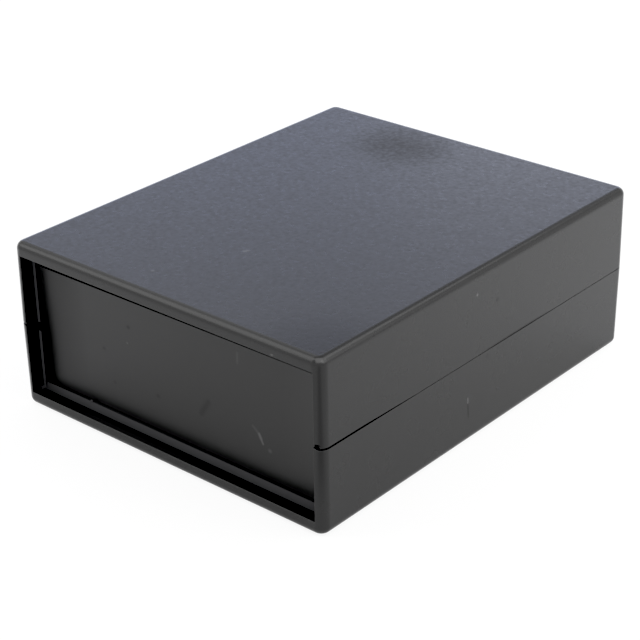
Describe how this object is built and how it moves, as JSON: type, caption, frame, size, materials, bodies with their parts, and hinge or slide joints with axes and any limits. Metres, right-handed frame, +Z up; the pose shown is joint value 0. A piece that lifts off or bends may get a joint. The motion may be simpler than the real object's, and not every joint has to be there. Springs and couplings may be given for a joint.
{
  "type": "electronics enclosure",
  "caption": "Split moulded plastic case with slide-in end panels behind bezels at front and rear, closed by screws from the underside, made to hold a circuit board.",
  "frame": {"origin": "centre of the underside", "axes": "+Z up, +Y from the front panel to the rear panel, +X to the right seen from the front"},
  "size_m": [0.11, 0.136, 0.05],
  "materials": {
    "shell": "black moulded plastic, fine grain on the roof and underside, satin walls",
    "panel": "black plastic sheet, smooth satin",
    "screw": "zinc-plated steel"
  },
  "bodies": {
    "root": {"lower_shell": "shell", "upper_shell": "shell", "front_panel": "panel", "rear_panel": "panel", "case_screws": "screw"}
  },
  "joints": []
}
